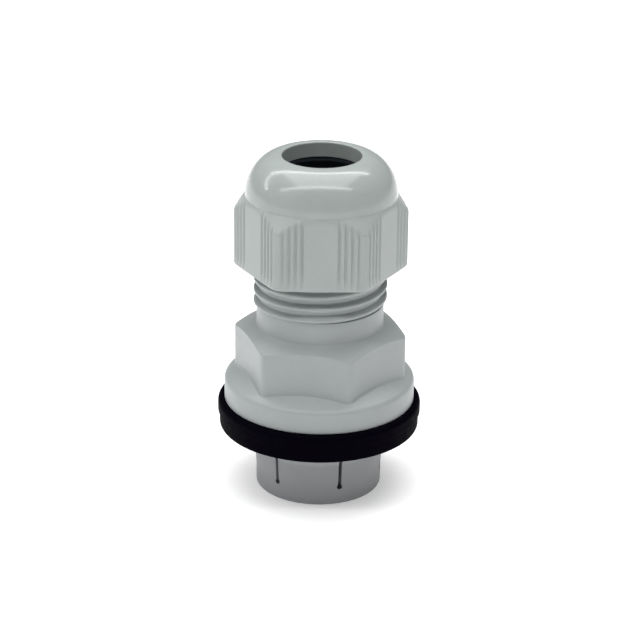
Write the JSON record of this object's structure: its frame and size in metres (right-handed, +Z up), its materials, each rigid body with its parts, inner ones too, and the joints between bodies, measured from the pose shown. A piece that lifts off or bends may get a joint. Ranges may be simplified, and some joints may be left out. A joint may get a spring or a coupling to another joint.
{
  "type": "cable gland",
  "caption": "Snap-in cable gland: ribbed dome nut on a threaded neck, clamping cage around a sealing insert, hexagon body with flange and seal, and a slit locking spigot.",
  "frame": {"origin": "centre of the spigot's lower rim, on the bore's axis", "axes": "+Z up the bore towards the cable entry, -Y towards the front, where one flat of the dome nut faces"},
  "size_m": [0.0322, 0.0322, 0.0549],
  "materials": {
    "housing": "light grey moulded polyamide, glossy dome and satin flats",
    "cage": "light grey moulded polyamide, satin",
    "crown": "mid grey moulded polyamide, matt",
    "slip_ring": "black low-friction plastic",
    "seal": "black moulded rubber"
  },
  "bodies": {
    "gland_body": {"gland_body": "housing", "cage_ring": "cage", "sealing_insert": "seal", "flange_seal": "seal", "crown_ring": "crown"},
    "slip_ring": {"slip_ring": "slip_ring"},
    "dome_nut": {"dome_nut": "housing"},
    "cage_lamella_1": {"cage_lamella_1": "cage"},
    "cage_lamella_2": {"cage_lamella_2": "cage"},
    "cage_lamella_3": {"cage_lamella_3": "cage"},
    "cage_lamella_4": {"cage_lamella_4": "cage"},
    "cage_lamella_5": {"cage_lamella_5": "cage"},
    "cage_lamella_6": {"cage_lamella_6": "cage"},
    "cage_lamella_7": {"cage_lamella_7": "cage"},
    "cage_lamella_8": {"cage_lamella_8": "cage"},
    "snap_finger_1": {"snap_finger_1": "crown"},
    "snap_finger_2": {"snap_finger_2": "crown"},
    "snap_finger_3": {"snap_finger_3": "crown"},
    "snap_finger_4": {"snap_finger_4": "crown"},
    "snap_finger_5": {"snap_finger_5": "crown"},
    "snap_finger_6": {"snap_finger_6": "crown"}
  },
  "joints": [
    {"name": "nut_travel", "type": "slide", "parent": "gland_body", "child": "slip_ring", "axis": [0, 0, 1], "range_m": [-0.0038, 0]},
    {"name": "nut_turn", "type": "hinge", "parent": "slip_ring", "child": "dome_nut", "pos_m": [0, 0, 0.045], "axis": [0, 0, 1], "range_deg": [-720, 0]},
    {"name": "lamella_bend_1", "type": "hinge", "parent": "gland_body", "child": "cage_lamella_1", "pos_m": [0.0086, 0, 0.04195], "axis": [0, -1, 0], "range_deg": [0, 13]},
    {"name": "lamella_bend_2", "type": "hinge", "parent": "gland_body", "child": "cage_lamella_2", "pos_m": [0.00608, 0.00608, 0.04195], "axis": [0.7071, -0.7071, 0], "range_deg": [0, 13]},
    {"name": "lamella_bend_3", "type": "hinge", "parent": "gland_body", "child": "cage_lamella_3", "pos_m": [0, 0.0086, 0.04195], "axis": [1, 0, 0], "range_deg": [0, 13]},
    {"name": "lamella_bend_4", "type": "hinge", "parent": "gland_body", "child": "cage_lamella_4", "pos_m": [-0.00608, 0.00608, 0.04195], "axis": [0.7071, 0.7071, 0], "range_deg": [0, 13]},
    {"name": "lamella_bend_5", "type": "hinge", "parent": "gland_body", "child": "cage_lamella_5", "pos_m": [-0.0086, 0, 0.04195], "axis": [0, 1, 0], "range_deg": [0, 13]},
    {"name": "lamella_bend_6", "type": "hinge", "parent": "gland_body", "child": "cage_lamella_6", "pos_m": [-0.00608, -0.00608, 0.04195], "axis": [-0.7071, 0.7071, 0], "range_deg": [0, 13]},
    {"name": "lamella_bend_7", "type": "hinge", "parent": "gland_body", "child": "cage_lamella_7", "pos_m": [0, -0.0086, 0.04195], "axis": [-1, 0, 0], "range_deg": [0, 13]},
    {"name": "lamella_bend_8", "type": "hinge", "parent": "gland_body", "child": "cage_lamella_8", "pos_m": [0.00608, -0.00608, 0.04195], "axis": [-0.7071, -0.7071, 0], "range_deg": [0, 13]},
    {"name": "finger_flex_1", "type": "hinge", "parent": "gland_body", "child": "snap_finger_1", "pos_m": [0.00897, 0.00327, 0.00308], "axis": [0.342, -0.9397, 0], "range_deg": [0, 5.5], "stiffness_Nm_per_rad": 0.2},
    {"name": "finger_flex_2", "type": "hinge", "parent": "gland_body", "child": "snap_finger_2", "pos_m": [0.00166, 0.0094, 0.00308], "axis": [0.9848, -0.1736, 0], "range_deg": [0, 5.5], "stiffness_Nm_per_rad": 0.2},
    {"name": "finger_flex_3", "type": "hinge", "parent": "gland_body", "child": "snap_finger_3", "pos_m": [-0.00732, 0.00614, 0.00308], "axis": [0.6428, 0.766, 0], "range_deg": [0, 5.5], "stiffness_Nm_per_rad": 0.2},
    {"name": "finger_flex_4", "type": "hinge", "parent": "gland_body", "child": "snap_finger_4", "pos_m": [-0.00897, -0.00327, 0.00308], "axis": [-0.342, 0.9397, 0], "range_deg": [0, 5.5], "stiffness_Nm_per_rad": 0.2},
    {"name": "finger_flex_5", "type": "hinge", "parent": "gland_body", "child": "snap_finger_5", "pos_m": [-0.00166, -0.0094, 0.00308], "axis": [-0.9848, 0.1736, 0], "range_deg": [0, 5.5], "stiffness_Nm_per_rad": 0.2},
    {"name": "finger_flex_6", "type": "hinge", "parent": "gland_body", "child": "snap_finger_6", "pos_m": [0.00732, -0.00614, 0.00308], "axis": [-0.6428, -0.766, 0], "range_deg": [0, 5.5], "stiffness_Nm_per_rad": 0.2}
  ],
  "couplings": [
    {"joint": "nut_travel", "follows": "nut_turn", "m_per_rad": 0.00030239},
    {"joint": "lamella_bend_1", "follows": "nut_turn", "ratio": -0.018056},
    {"joint": "lamella_bend_2", "follows": "nut_turn", "ratio": -0.018056},
    {"joint": "lamella_bend_3", "follows": "nut_turn", "ratio": -0.018056},
    {"joint": "lamella_bend_4", "follows": "nut_turn", "ratio": -0.018056},
    {"joint": "lamella_bend_5", "follows": "nut_turn", "ratio": -0.018056},
    {"joint": "lamella_bend_6", "follows": "nut_turn", "ratio": -0.018056},
    {"joint": "lamella_bend_7", "follows": "nut_turn", "ratio": -0.018056},
    {"joint": "lamella_bend_8", "follows": "nut_turn", "ratio": -0.018056}
  ]
}
